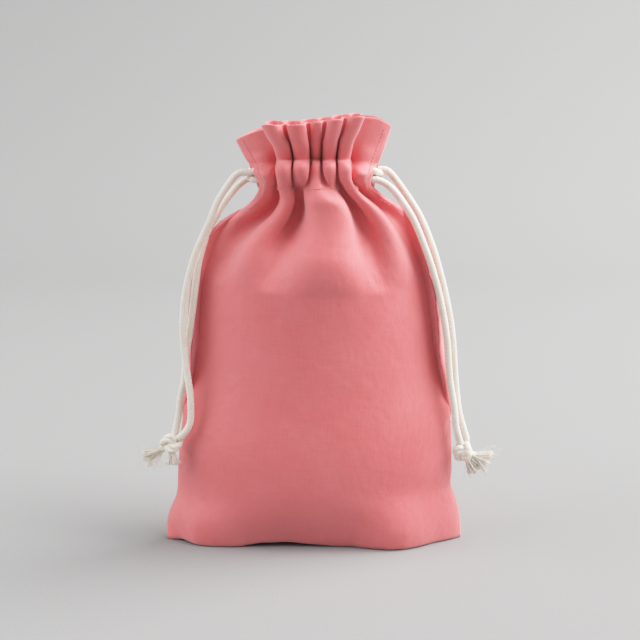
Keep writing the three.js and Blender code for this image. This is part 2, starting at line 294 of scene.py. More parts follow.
def cloth_material():
    n = Nodes("cotton_cloth")
    flat = n.add("ShaderNodeUVMap", uv_map="flat_cloth").outputs[0]  # millimetres across and up the cloth
    parts = n.add("ShaderNodeSeparateXYZ", {0: flat})
    turn = 2 * math.pi / WEAVE_PITCH
    drift = n.noise(n.stretch(flat, (0.05, 0.05, 1)), 1.0)
    wobble = n.math("MULTIPLY", n.math("SUBTRACT", drift, 0.5), 1.2)
    warp = n.math("SINE", n.math("MULTIPLY", n.math("ADD", parts.outputs[0], wobble), turn / 2))
    weft = n.math("SINE", n.math("MULTIPLY", n.math("ADD", parts.outputs[1], wobble), turn / 2))
    checker = n.math("MULTIPLY", warp, weft)
    yarn = n.math("MULTIPLY", n.math("ABSOLUTE", warp), n.math("ABSOLUTE", weft))
    slub_up = n.noise(n.stretch(flat, (2.2, 0.06, 1)), 1.0, 2.0)
    slub_across = n.noise(n.stretch(flat, (0.06, 2.2, 1)), 1.0, 2.0)
    slubs = n.math("ADD", n.spread(slub_up, 0.35, 0.7), n.spread(slub_across, 0.35, 0.7))
    patches = n.noise(n.stretch(flat, (0.018, 0.018, 1)), 1.0, 4.0, 0.6)
    fibre = n.noise(n.stretch(flat, (3.0, 3.0, 1)), 1.0, 4.0, 0.7)
    color = n.mix(n.spread(patches, 0.3, 0.72), CLOTH_DEEP_AND_GAP_SHADE, CLOTH_COLOR)
    color = n.mix(n.math("MULTIPLY", n.spread(slubs, 0.5, 1.9), 0.28), color, CLOTH_PALE)
    # painted shade between the yarns: where the weave is low, the colour goes part of the way to the deep
    # colour
    color = n.mix(n.math("MULTIPLY", n.spread(yarn, 0.0, 0.6, 1.0, 0.0), 0.35), color, CLOTH_DEEP_AND_GAP_SHADE)
    n.link(color, "Base Color")
    weave = n.math("ADD", yarn, n.math("MULTIPLY", checker, 0.45))
    height = n.math("ADD", weave, n.math("MULTIPLY", slubs, 0.4))
    fine = n.bump(n.math("ADD", height, n.math("MULTIPLY", fibre, 0.5)), 0.00006, 0.8)
    crumple = n.noise(n.stretch(flat, (0.11, 0.08, 1)), 1.0, 5.0, 0.6)
    n.link(n.bump(crumple, 0.0011, 0.55, fine), "Normal")
    n.link(n.spread(fibre, 0.2, 0.8, 0.5, 0.64), "Roughness")
    n.shader.inputs["Sheen Weight"].default_value = 0.8
    n.shader.inputs["Sheen Roughness"].default_value = 0.45
    n.shader.inputs["Sheen Tint"].default_value = (1.0, 0.9, 0.93, 1)
    n.shader.inputs["Specular IOR Level"].default_value = 0.8
    return n.material


def cord_material():
    n = Nodes("cotton_cord")
    place = n.add("ShaderNodeTexCoord").outputs["Object"]
    groove = n.add("ShaderNodeAttribute", attribute_name="relief").outputs["Fac"]
    fibre = n.noise(n.stretch(place, (1500, 1500, 900)), 1.0, 4.0, 0.7)
    patches = n.noise(place, 60.0, 3.0)
    base = n.mix(n.spread(patches, 0.3, 0.7), CORD_SHADE, CORD_COLOR)
    base = n.mix(0.6, base, CORD_COLOR)
    # painted shade in the grooves of the braid: where the relief is low, the colour goes towards the
    # shade colour
    base = n.mix(n.spread(groove, 0.0, 0.55, 0.85, 0.0), base, CORD_SHADE)
    base = n.mix(n.math("MULTIPLY", n.spread(fibre, 0.35, 0.7), 0.25), base, CORD_FIBRE)
    n.link(base, "Base Color")
    n.link(n.bump(fibre, 0.00012, 0.7), "Normal")
    n.link(n.spread(fibre, 0.2, 0.8, 0.78, 0.95), "Roughness")
    n.shader.inputs["Sheen Weight"].default_value = 0.4
    n.shader.inputs["Sheen Roughness"].default_value = 0.6
    n.shader.inputs["Specular IOR Level"].default_value = 0.2
    return n.material


def thread_material():
    n = Nodes("sewing_thread")
    place = n.add("ShaderNodeTexCoord").outputs["Object"]
    wave = {"Vector": place, "Scale": 900.0, "Distortion": 1.5}
    ply = n.add("ShaderNodeTexWave", wave, bands_direction="DIAGONAL")
    fibre = n.noise(place, 2500.0, 3.0)
    base = n.mix(n.spread(fibre, 0.3, 0.7), THREAD_SHADE, THREAD_COLOR)
    n.link(base, "Base Color")
    n.link(n.bump(ply.outputs["Fac"], 0.00005, 0.6), "Normal")
    n.link(n.spread(fibre, 0.2, 0.8, 0.6, 0.8), "Roughness")
    n.shader.inputs["Sheen Weight"].default_value = 0.2
    return n.material


def backdrop_material():
    n = Nodes("studio_paper")
    place = n.add("ShaderNodeTexCoord").outputs["Object"]
    grain = n.noise(place, 700.0, 3.0)
    depth = n.add("ShaderNodeSeparateXYZ", {0: place}).outputs[1]
    # painted shade and light: the paper goes from darker near the camera to lighter at the back
    paper = n.mix(n.spread(depth, -0.5, 1.6), PAPER_NEAR_SHADED, PAPER_FAR_LIT)
    n.link(n.mix(n.spread(grain, 0.3, 0.7, 0.0, 0.06), paper, PAPER_FIBRE), "Base Color")
    n.shader.inputs["Roughness"].default_value = 0.9
    n.shader.inputs["Specular IOR Level"].default_value = 0.1
    return n.material


CLOTH = cloth_material()
CORD = cord_material()
THREAD = thread_material()

# ---------- camera ----------

CAMERA_ELEVATION = math.radians(10)
CAMERA_DISTANCE = 1.012
CAMERA_TARGET = Vector((0.004, 0, 0.1496))


def add_camera():
    camera = bpy.data.objects.new("camera", bpy.data.cameras.new("camera"))
    camera.data.lens = 86
    camera.data.sensor_width = 36
    away = Vector((0, -math.cos(CAMERA_ELEVATION), math.sin(CAMERA_ELEVATION)))
    camera.location = CAMERA_TARGET + CAMERA_DISTANCE * away
    camera.rotation_euler = (-away).to_track_quat("-Z", "Y").to_euler()
    bpy.context.scene.collection.objects.link(camera)
    bpy.context.scene.camera = camera


add_camera()

# ---------- drawcords ----------

CORD_SIDES = 20
CORD_STEP = 0.0007  # between the rings of a cord
BRAID_TURN = 0.0105  # length in which one yarn of the braid goes once round


def braid_relief(path, sides):
    """Height of a round braid, 0 in the grooves and 1 on the yarns, for each ring and side."""
    along = np.concatenate([[0], np.cumsum(np.linalg.norm(np.diff(path, axis=0), axis=1))])[:, None]
    around = (np.arange(sides) / sides)[None]
    carriers = 4
    one = np.abs(np.sin(math.pi * carriers * (around + along / BRAID_TURN)))
    other = np.abs(np.sin(math.pi * carriers * (around - along / BRAID_TURN)))
    over = np.sin(math.pi * carriers * 2 * around) > 0
    return np.where(over, one, other) ** 0.6


def braided_tube(path, diameter=CORD_DIAMETER):
    """A braided cord along a path: vertices, faces and its relief as a point value."""
    relief = braid_relief(path, CORD_SIDES)
    radius = diameter / 2 * (0.86 + 0.18 * relief)
    vertices, faces = tube_mesh(path, radius, CORD_SIDES)
    return vertices, faces, relief.ravel()


def add_cord_piece(name, tubes):
    vertices, faces = join_parts([(v, f) for v, f, _ in tubes])
    piece = add_mesh(name, vertices, faces, CORD)
    relief = piece.data.attributes.new("relief", "FLOAT", "POINT")
    relief.data.foreach_set("value", np.concatenate([r for _, _, r in tubes]).astype(np.float32))
    return piece


def free_cord_path(sign, y, height, route, knot):
    reach = NECK_HALF_WIDTH
    inside = [
        (sign * CORD_START, y, height), (sign * (reach - 0.013), y, height),
        (sign * (reach - 0.003), y, height), (sign * (reach + 0.005), y, height - 0.0006),
    ]
    end = np.array(route[-1]) + 0.45 * (np.array(knot) - np.array(route[-1]))
    return smooth_path([*inside, *route, tuple(end)], CORD_STEP)


def loop_path(sign, front_height, back_height):
    start, slit, turn = sign * (CORD_START - 0.0003), -sign * NECK_HALF_WIDTH, 6
    points = [(start, -CHANNEL_CENTRE, front_height), (0, -CHANNEL_CENTRE, front_height)]
    points.append((slit * 0.6, -CHANNEL_CENTRE, front_height))
    for i in range(turn + 1):
        share = i / turn
        angle = share * math.pi
        height = front_height + (back_height - front_height) * float(ease(share))
        x = slit - sign * 0.0058 * math.sin(angle)
        points.append((x, -CHANNEL_CENTRE * math.cos(angle), height))
    points += [(slit * 0.6, CHANNEL_CENTRE, back_height), (0, CHANNEL_CENTRE, back_height)]
    points.append((start, CHANNEL_CENTRE, back_height))
    return smooth_path(points, CORD_STEP)


KNOT_SCALE = 0.00168
KNOT_STRANDS = ((0.0014, 0.4), (-0.0014, 0.55))  # both strands: shift along the knot's axis, and phase


def knot_path(centre, axis, scale, phase):
    """A cord that winds round itself three times, as a tight overhand knot looks from outside."""
    t = np.linspace(0, 2 * math.pi, 130) + phase
    x = np.sin(t) + 2 * np.sin(2 * t)
    y = np.cos(t) - 2 * np.cos(2 * t)
    z = -1.5 * np.sin(3 * t)
    axis = unit(np.array(axis, float))
    side = unit(np.cross(axis, [0.3, 1.0, 0.2]))
    up = np.cross(axis, side)
    return np.array(centre) + scale * (x[:, None] * side + y[:, None] * up + z[:, None] * axis)


def add_knot(side, centre, axis):
    centre = np.array(centre)
    core = smooth_path([centre - 0.0058 * axis, centre, centre + 0.006 * axis], 0.0008)
    tubes = [
        braided_tube(knot_path(centre + shift * axis, axis, KNOT_SCALE, phase), CORD_DIAMETER * 0.95)
        for shift, phase in KNOT_STRANDS
    ]
    tubes.append(braided_tube(core, CORD_DIAMETER * 1.3))
    piece = add_cord_piece(f"{side}_knot_cord", tubes)
    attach(piece, f"{side}_cord_tail")
    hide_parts(f"{side}_knot")
    return piece


YARN_BUNDLES = 13
YARNS_IN_BUNDLE = 9
YARN_RADIUS = 0.00058
LOOSE_FIBRES = 46


def add_tassel(side, number, centre, direction, length, spread, seed):
    """A frayed cord end: a short stub and a brush of loose yarns that fan out from it."""
    rng = np.random.default_rng(seed)
    direction = unit(np.array(direction, float))
    across = unit(np.cross(direction, [0.1, 1.0, 0.3]))
    up = np.cross(direction, across)
    root = np.array(centre) + direction * 0.0052
    stub = smooth_path([root - direction * 0.002, root, root + direction * 0.0035], CORD_STEP)
    tubes = [braided_tube(stub)]
    parts = []
    for bundle in range(YARN_BUNDLES):
        angle = 2 * math.pi * (bundle * 0.618 + rng.uniform(-0.04, 0.04))
        out = math.sqrt((bundle + 0.5) / YARN_BUNDLES)
        side_way = across * math.cos(angle) + up * math.sin(angle)
        t = np.linspace(0, 1, 11)[:, None]
        reach = length * rng.uniform(0.86, 1.0) * (1 - 0.1 * out)
        start = root + direction * 0.0015 + side_way * out * CORD_DIAMETER * 0.42
        bend = rng.normal(0, 1, 3) * length * 0.07
        line = start + direction * reach * t + side_way * out * spread * t**1.3 + bend * t**2
        for fibre in range(YARNS_IN_BUNDLE):
            turn = 2 * math.pi * (fibre / YARNS_IN_BUNDLE + 1.6 * t + rng.uniform(-0.05, 0.05))
            loose = YARN_RADIUS * (0.75 + 1.5 * t**4 * rng.uniform(0.4, 1.6))
            loose = loose * (0.3 if fibre == 0 else 1)
            around = across * np.cos(turn) + up * np.sin(turn)
            end = rng.uniform(0.9, 1.04)
            thick = 0.00024 * np.interp(t, [0, 0.85, 1], [1, 0.95, 0.45])
            yarn = start + (line - start) * end + around * loose
            parts.append(tube_mesh(yarn, np.repeat(thick, 5, 1), 5))
    for _ in range(LOOSE_FIBRES):
        angle, out = rng.uniform(0, 2 * math.pi), rng.uniform(0.5, 1)
        side_way = across * math.cos(angle) + up * math.sin(angle)
        t = np.linspace(0, 1, 8)[:, None]
        start = root + direction * 0.002 + side_way * out * CORD_DIAMETER * 0.46
        curl = rng.normal(0, 1, 3) * length * 0.16
        reach = length * rng.uniform(0.5, 1.0)
        line = start + direction * reach * t + side_way * out * spread * 1.3 * t + curl * t**2
        parts.append(tube_mesh(line, 0.00007, 3))
    vertices, faces = join_parts(parts)
    tubes.append((vertices, faces, np.full(len(vertices), 0.8)))
    piece = add_cord_piece(f"{side}_frayed_end_{number}", tubes)
    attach(piece, f"{side}_cord_tail")
    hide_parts(f"{side}_tassel_{number}")
    return piece


DRAWCORDS = [
    {
        "side": "left", "sign": -1, "front": UPPER_CORD, "back": LOWER_CORD,
        "routes": (LEFT_FRONT_ROUTE, LEFT_BACK_ROUTE),
        "knot": (-.0946, -.0128, .069), "axis": (-0.6, -0.1, -0.79),
        "tassels": [((-.83, -.12, -.54), .0165, .0055), ((.1, -.2, -.97), .008, .003)],
    },
    {
        "side": "right", "sign": 1, "front": LOWER_CORD, "back": UPPER_CORD,
        "routes": (RIGHT_FRONT_ROUTE, RIGHT_BACK_ROUTE),
        "knot": (.0996, -.0066, .0618), "axis": (0.35, 0.0, -0.94),
        "tassels": [((.86, -.1, -.3), .0135, .0055), ((.5, -.1, -.86), .0105, .0034)],
    },
]


def add_drawcord(cord, seed):
    side, sign, knot_at = cord["side"], cord["sign"], cord["knot"]
    knot = add_knot(side, knot_at, unit(np.array(cord["axis"])))
    ends = [
        add_tassel(side, i + 1, knot_at, *tassel, seed + i) for i, tassel in enumerate(cord["tassels"])
    ]
    faces = [("front", -CHANNEL_CENTRE, cord["front"]), ("back", CHANNEL_CENTRE, cord["back"])]
    for (face, y, height), route, end in zip(faces, cord["routes"], ends):
        path = free_cord_path(sign, y, height, route, knot_at)
        piece = add_cord_piece(f"{side}_{face}_cord", [braided_tube(path)])
        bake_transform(piece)
        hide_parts(f"{side}_{face}_run", f"{side}_{face}_strand")
    hidden = braided_tube(loop_path(sign, cord["front"], cord["back"]))
    loop = add_cord_piece(f"{side}_channel_cord", [hidden])
    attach(loop, "sack")
    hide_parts(f"{side}_cord_loop")


for number, drawcord in enumerate(DRAWCORDS):
    add_drawcord(drawcord, 10 * number + 3)

# ---------- cloth: start shape ----------

# Where folds run down the cloth, as distances across the flat panel: at the gathers, on the shoulder
FRONT_GATHERS = [-122, -98, -76, -40, -4, 16, 46, 76, 98, 122]
FRONT_FOLDS = [-122, -74, -30, 46, 84, 122]
FRONT_FOLD_DEPTH = ([-100, -74, -30, 8, 46, 84, 100], [0.8, 1.0, 1.25, 0.5, 1.25, 0.9, 0.7])
BACK_GATHERS = [-122, -98, -76, -48, -20, 6, 24, 52, 76, 98, 122]
BACK_FOLDS = [-120, -78, -36, 12, 56, 88, 124]
BACK_FOLD_DEPTH = ([-100, 100], [0.9, 0.9])
# Height of the frill's top edge, from the left slit at -1 to the right slit at 1
FRILL_EDGE = (
    [-1, -0.8, -0.6, -0.3, 0, 0.3, 0.6, 0.85, 1],
    [268, 275, 279.5, 279, 280.5, 282.5, 284.5, 283, 277],
)
# How far the bottom seam is drawn forward under the left corner
TUCK_DEPTH = 4.0
TUCK_START, TUCK_BLEND = 78, 14  # distances across the panel
TUCK_FADE = (1.0, 0.85, 0.55, 0.25, 0.08)  # share of the tuck in each row, up from the bottom seam
DEEPEST_FOLD = 2.05  # radians a cloth row may turn away from its general direction
# The frill stands on the gather line and fans out: half sizes there, and their growth up to its edge
GATHER_HALF_WIDTH, GATHER_HALF_DEPTH = 41, 8.5
FRILL_WIDENS, FRILL_DEEPENS, FRILL_POWER = 9.5, 9, 3.2
FRILL_GAP, FRILL_CLOSES = 6.5, 5.0  # from the seam plane to the frill, and how much of it closes
CHANNEL_PUFF = ([0.4, 0.72, 0.9, 1], [0, 2.2, 3.4, 0])  # how high the ridges swell over the gather line
SLIT_FADE = [0, 70, 80, 94, 100]  # distances across, where folds grow shallower towards the slits

across_cloth = np.linspace(-CLOTH_HALF, CLOTH_HALF, COLUMNS + 1)
up_cloth = np.linspace(0, BODY_LENGTH + CHANNEL_LENGTH + FRILL_LENGTH, ROWS + 1)


def edges(z):
    """Half width of the sack at one height, and how far its middle is shifted."""
    left, right = smooth_value(LEFT_EDGE, z), smooth_value(RIGHT_EDGE, z)
    return (left + right) / 2, (right - left) / 2


def lens(half_width, half_depth, power):
    """Half of the sack's plan at one height, with the distance along it."""
    u = np.sin(np.linspace(-math.pi / 2, math.pi / 2, 400))
    x = half_width * u
    y = -half_depth * (1 - np.abs(u) ** power) ** 0.8
    return x, y, np.concatenate([[0], np.cumsum(np.hypot(np.diff(x), np.diff(y)))])


def folded_row(half_width, half_depth, power, phase, depth):
    """Plan of one cloth row: the lens with folds, so deep that the row has the cloth's full length."""
    x, y, arc = lens(half_width, half_depth, power)
    share = (across_cloth + CLOTH_HALF) / (2 * CLOTH_HALF)
    heading = np.arctan2(
        np.interp(share, arc / arc[-1], np.gradient(y, arc + 1e-9)),
        np.interp(share, arc / arc[-1], np.gradient(x, arc + 1e-9)),
    )
    ratio = min(arc[-1] / (2 * CLOTH_HALF), 1.0)
    low, high = 0.0, 3.0
    for _ in range(30):
        middle = (low + high) / 2
        turned = np.cos(np.clip(middle * depth, 0, DEEPEST_FOLD) * np.sin(phase)).mean()
        low, high = (middle, high) if turned > ratio else (low, middle)
    heading = heading - np.clip(low * depth, 0, DEEPEST_FOLD) * np.sin(phase)
    heading = (heading[1:] + heading[:-1]) / 2
    row_x = np.concatenate([[0], np.cumsum(np.cos(heading))])
    row_y = np.concatenate([[0], np.cumsum(np.sin(heading))]) * (across_cloth[1] - across_cloth[0])
    share = row_x / row_x[-1]
    return (share * 2 - 1) * half_width, row_y - row_y[-1] * share


def smooth_panel():
    """The panel without folds: across the floor from the bottom seam, then up the wall."""
    heights = np.linspace(0, NECK_HEIGHT, 240)
    share = (across_cloth + CLOTH_HALF) / (2 * CLOTH_HALF)
    lobes = np.interp(across_cloth, *LOBES)
    wall_x, wall_y = np.zeros((2, len(heights), COLUMNS + 1))
    for k, z in enumerate(heights):
        width, shift = edges(z)
        x, y, arc = lens(width, smooth_value(HALF_DEPTH, z), 2.2)
        wall_x[k] = np.interp(share, arc / arc[-1], x) + shift
        wall_y[k] = np.interp(share, arc / arc[-1], y) * (1 + (lobes - 1) * (1 - ease(z / 42)))
    step_x, step_y = np.diff(wall_x, axis=0), np.diff(wall_y, axis=0)
    steps = np.sqrt(step_x**2 + step_y**2 + np.diff(heights)[:, None]**2)
    climbed = np.vstack([np.zeros(COLUMNS + 1), np.cumsum(steps, axis=0)])
    panel = np.zeros((ROWS + 1, COLUMNS + 1, 3))
    for j in range(COLUMNS + 1):
        floor = abs(wall_y[0, j])
        along = np.clip(up_cloth / BODY_LENGTH, 0, 1) * (floor + climbed[-1, j])
        z = np.interp(along - floor, climbed[:, j], heights)
        on_floor = along < floor
        panel[:, j, 0] = np.where(on_floor, wall_x[0, j], np.interp(z, heights, wall_x[:, j]))
        panel[:, j, 1] = np.where(on_floor, -along, np.interp(z, heights, wall_y[:, j]))
        arch = np.interp(across_cloth[j], *ARCH) * ease(along / 12) * (1 - ease((z - 3) / 22))
        panel[:, j, 2] = np.where(on_floor, 0, z) + arch
    return panel


def broad_ridges(across, valleys, share):
    """Phase of the folds along a row: a whole turn from valley to valley, faster in the valleys."""
    turns = 2 * math.pi * np.interp(across, valleys, np.arange(len(valleys)))
    return turns + share * np.sin(turns)


def fold_panel(panel, gathers, folds, fold_depth, mirror):
    """Puts the folds of the shoulder, the gathers of the channel and the frill into a smooth panel."""
    gather_phase = broad_ridges(across_cloth, gathers, 0.55)
    fold_phase = broad_ridges(across_cloth, folds, 0.35)
    off_centre = np.abs(across_cloth)
    at_seam = np.interp(off_centre, [0, 90, 100], [1, 1, 0])
    shoulder_depth = at_seam * np.interp(across_cloth, *fold_depth)
    foot = GATHER_HEIGHT - 3 * ease((off_centre - 55) / 40)
    ridge = np.clip(0.5 - 0.5 * np.cos(gather_phase), 0, 1) * ease((88 - off_centre) / 20)
    for i, up in enumerate(up_cloth):
        frill = (up - BODY_LENGTH - CHANNEL_LENGTH) / FRILL_LENGTH
        if frill > 1e-6:
            near_slit = max(0.08, 0.4 - 0.7 * frill), max(0.03, 0.32 - 0.7 * frill)
            opening = np.interp(off_centre, SLIT_FADE, [1, 1, *near_slit, 0])
            gap = FRILL_GAP - FRILL_CLOSES * ease(frill * 1.4)
            width = GATHER_HALF_WIDTH + FRILL_WIDENS * frill**0.8
            depth = GATHER_HALF_DEPTH + FRILL_DEEPENS * frill
            x, y = folded_row(width, depth - gap, FRILL_POWER, gather_phase, opening)
            top = np.interp(across_cloth / CLOTH_HALF, *FRILL_EDGE)
            panel[i] = np.stack([x, y - gap, foot + (top - foot) * frill], 1)
            continue
        z = panel[i, COLUMNS // 2, 2]
        if up > BODY_LENGTH:
            rise = (up - BODY_LENGTH) / CHANNEL_LENGTH
            z = NECK_HEIGHT + (GATHER_HEIGHT - NECK_HEIGHT) * rise
            puff = np.interp(rise, *CHANNEL_PUFF)
            panel[i, :, 2] = z + (foot - GATHER_HEIGHT) * ease(rise) + puff * ridge
        folded = ease((z - 50) / 60)
        if folded == 0:
            continue
        (width, shift), depth = edges(z), smooth_value(HALF_DEPTH, z)
        power = 2.2 + 0.8 * np.clip((z - 195) / 43, 0, 1)
        gap = smooth_value(SLIT_GAP, z)
        shoulder = np.stack(folded_row(width, depth - gap, power, fold_phase, shoulder_depth), 1)
        wing = 0.4 + 0.8 * ease((GATHER_HEIGHT - z) / 20)
        gather_depth = np.interp(off_centre, SLIT_FADE, [1, 1, wing, 0.8 * wing, 0])
        gathered = np.stack(folded_row(width, depth - gap, power, gather_phase, gather_depth), 1)
        near_neck = ease((z - 229) / 22)
        row = shoulder * (1 - near_neck) + gathered * near_neck + [shift, -gap]
        panel[i, :, :2] = panel[i, :, :2] * (1 - folded) + row * folded
    if mirror:
        panel[:, :, 1] *= -1
    return panel


def tuck_corner(front, back):
    """Draws the bottom seam a little forward under the left corner."""
    tuck = -TUCK_DEPTH * ease((-across_cloth - TUCK_START) / TUCK_BLEND)
    rows = len(TUCK_FADE)
    for grid in (front, back):
        grid[:rows, :, 1] += np.array(TUCK_FADE)[:, None] * tuck


# ---------- cloth: simulation ----------

SIM_SCALE = 0.01  # millimetres to the simulation's decimetres
SIM_FRAMES = 25
SIM_PRESSURE = 0.5
SIM_GRAVITY = 0.3
CLOTH_STIFFNESS, CLOTH_SHEAR, CLOTH_BENDING, CLOTH_DAMPING = 40, 8, 0.5, 8
GROUND_DROP = 0.022  # the ground keeps the cloth this far off itself
# How firmly the cloth is held to its start shape, by distance up the flat cloth
PIN_HEIGHTS = [0, 38, 60, 150, 200, BODY_LENGTH]
PIN_BODY = [0.3, 0.3, 0.03, 0.06, 0.14, 0.2]
PIN_FRILL, PIN_CHANNEL, PIN_PUFF, PIN_SIDE_SEAM, PIN_BOTTOM_SEAM = 0.3, 0.4, 0.7, 0.7, 0.9


def weld_panels():
    """Vertex numbers of both panels, which share the bottom seam and the side seams up to the slits."""
    front = np.arange((ROWS + 1) * (COLUMNS + 1)).reshape(ROWS + 1, COLUMNS + 1)
    back = front + front.size
    slit = int(np.searchsorted(up_cloth, SLIT_START)) + 1
    back[0] = front[0]
    back[:slit, 0] = front[:slit, 0]
    back[:slit, -1] = front[:slit, -1]
    used, numbers = np.unique(np.concatenate([front.ravel(), back.ravel()]), return_inverse=True)
    return used, numbers[:front.size].reshape(front.shape), numbers[front.size:].reshape(front.shape)


def grid_faces(grid, turned=False):
    corners = [grid[:-1, :-1], grid[:-1, 1:], grid[1:, 1:], grid[1:, :-1]]
    if turned:
        corners = [corners[0], corners[3], corners[2], corners[1]]
    return np.stack([c.ravel() for c in corners], 1)


def pin_weights(front, back, count):
    """How firmly each point is held: the gather line fully, the seams well, the open cloth barely."""
    across, up = np.meshgrid(np.abs(across_cloth), up_cloth)
    gather = BODY_LENGTH + CHANNEL_LENGTH
    pins = np.zeros(count)
    for grid in (front, back):
        w = np.interp(up, PIN_HEIGHTS, PIN_BODY).round(2)
        w[up > gather] = PIN_FRILL
        w[(up > BODY_LENGTH - 1.5) & (up <= gather)] = PIN_CHANNEL
        w[(up > gather - 6) & (up <= gather)] = PIN_PUFF
        w[np.abs(up - gather) < 1.5] = 1.0
        w[(across > CLOTH_HALF - 0.1) & (up < SLIT_START + 1)] = PIN_SIDE_SEAM
        w[0] = PIN_BOTTOM_SEAM
        pins[grid] = w
    return pins


def cut_heights(panel):
    """How far up the flat cloth each point lies. The frill slants, so its columns differ in length."""
    foot = int(np.argmin(np.abs(up_cloth - BODY_LENGTH - CHANNEL_LENGTH)))
    heights = np.repeat(up_cloth[:, None], COLUMNS + 1, 1)
    rise = np.linalg.norm(np.diff(panel[foot:], axis=0), axis=-1)
    heights[foot + 1:] = heights[foot] + np.cumsum(rise, axis=0)
    return heights


def simulate(front_shape, back_shape):
    """Lets the cloth settle from its start shape, with the flat cut as its rest shape."""
    used, front, back = weld_panels()
    start = np.concatenate([front_shape.reshape(-1, 3), back_shape.reshape(-1, 3)])[used]
    faces = np.concatenate([grid_faces(front), grid_faces(back, turned=True)])
    cloth = add_mesh("cloth_at_work", start * SIM_SCALE, faces, CLOTH)
    across, up = np.meshgrid(across_cloth, up_cloth)
    flat = np.zeros_like(start)
    for grid, y in ((front, -0.5), (back, 0.5)):
        flat[grid] = np.stack([across, np.full_like(across, y), cut_heights(start[grid])], -1)
    cloth.shape_key_add(name="Basis")
    cut = cloth.shape_key_add(name="cut")
    cut.data.foreach_set("co", (flat * SIM_SCALE).ravel())
    pins = pin_weights(front, back, len(start))
    group = cloth.vertex_groups.new(name="pins")
    for value in np.unique(pins):
        group.add(np.nonzero(pins == value)[0].tolist(), float(value), "REPLACE")
    modifier = cloth.modifiers.new("Cloth", "CLOTH")
    settings = modifier.settings
    settings.quality = 6
    settings.mass = 0.02
    settings.tension_stiffness = settings.compression_stiffness = CLOTH_STIFFNESS
    settings.shear_stiffness = CLOTH_SHEAR
    settings.bending_model = "ANGULAR"
    settings.bending_stiffness = CLOTH_BENDING
    settings.tension_damping = settings.compression_damping = settings.shear_damping = CLOTH_DAMPING
    settings.bending_damping = CLOTH_BENDING
    settings.air_damping = 2
    settings.vertex_group_mass = "pins"
    settings.rest_shape_key = cut
    settings.use_pressure = True
    settings.uniform_pressure_force = SIM_PRESSURE
    settings.effector_weights.gravity = SIM_GRAVITY
    modifier.collision_settings.distance_min = 0.005
    modifier.point_cache.frame_end = SIM_FRAMES + 5
    square = [(-5, -5, 0), (5, -5, 0), (5, 5, 0), (-5, 5, 0)]
    ground = add_mesh("ground_at_work", square, [(0, 1, 2, 3)], CLOTH)
    ground.location.z = -GROUND_DROP
    ground.modifiers.new("Collision", "COLLISION")
    for number in range(1, SIM_FRAMES + 1):
        bpy.context.scene.frame_set(number)
    settled = cloth.evaluated_get(bpy.context.evaluated_depsgraph_get()).to_mesh()
    points = np.zeros(3 * len(start))
    settled.vertices.foreach_get("co", points)
    points = points.reshape(-1, 3) / SIM_SCALE
    bpy.context.scene.frame_set(1)
    for helper in (cloth, ground):
        bpy.data.objects.remove(helper)
    return points[front], points[back]


def settle(grid):
    """Nothing may lie below the surface that the sack stands on."""
    grid[..., 2] = np.maximum(grid[..., 2], 0)
    return grid


front_cloth = fold_panel(smooth_panel(), FRONT_GATHERS, FRONT_FOLDS, FRONT_FOLD_DEPTH, False)
back_cloth = fold_panel(smooth_panel(), BACK_GATHERS, BACK_FOLDS, BACK_FOLD_DEPTH, True)
tuck_corner(front_cloth, back_cloth)
front_cloth, back_cloth = simulate(front_cloth, back_cloth)
front_cloth, back_cloth = settle(front_cloth), settle(back_cloth)

# ---------- cloth: pieces ----------

FACING_ROWS = 9
FACING_NARROWS = 0.45  # share by which the facing's folds are flatter than the outer cloth's
FACING_INSET = 0.8
FACING_PATTERN = 340  # where the weave pattern of the facing starts


def add_cloth_piece(face, grid, sign):
    """One side of the sack: the outer cloth, and the facing that closes its channel on the inside."""
    across, up = np.meshgrid(across_cloth, up_cloth)
    numbers = np.arange(grid[..., 0].size).reshape(across.shape)
    faces = [grid_faces(numbers, turned=sign > 0)]
    points, flat = [grid.reshape(-1, 3)], [np.stack([across, up], -1).reshape(-1, 2)]
    low = int(np.argmin(np.abs(up_cloth - BODY_LENGTH)))
    high = int(np.argmin(np.abs(up_cloth - BODY_LENGTH - CHANNEL_LENGTH)))
    rise = np.linspace(0, 1, FACING_ROWS)[:, None, None]
    facing = grid[low] * (1 - rise) + grid[high] * rise
    narrowing = 1 - FACING_NARROWS * np.sin(math.pi * rise[..., 0])
    facing[..., 1] = facing[..., 1] * narrowing - sign * FACING_INSET
    facing_numbers = np.arange(facing[..., 0].size).reshape(facing.shape[:2]) + numbers.size
    faces.append(grid_faces(facing_numbers, turned=sign < 0))
    points.append(facing.reshape(-1, 3))
    facing_up = FACING_PATTERN + CHANNEL_LENGTH * rise[..., 0]
    flat.append(np.stack(np.broadcast_arrays(across_cloth[None], facing_up), -1).reshape(-1, 2))
    piece = add_mesh(f"{face}_cloth", np.vstack(points) * MM, np.vstack(faces), CLOTH)
    layer = piece.data.uv_layers.new(name="flat_cloth")
    corners = np.zeros(len(piece.data.loops), int)
    piece.data.loops.foreach_get("vertex_index", corners)
    layer.data.foreach_set("uv", np.vstack(flat)[corners].ravel())
    finer = piece.modifiers.new("finer", "SUBSURF")
    finer.levels = finer.render_levels = 1
    body = piece.modifiers.new("thickness", "SOLIDIFY")
    body.thickness = CLOTH_THICKNESS * MM
    body.offset = -1
    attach(piece, "sack")
    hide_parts(f"{face}_panel", f"{face}_channel", f"{face}_frill")
    return piece


add_cloth_piece("front", front_cloth, -1)
add_cloth_piece("back", back_cloth, 1)

# ---------- stitching ----------

STITCH_END = 97  # where a row of stitches across the panel ends
HEM_STITCH = 93.0  # distance from the panel's middle to the stitches of a slit hem
SEAM_LIFT = 0.9  # how far inside the cloth the seams are sewn


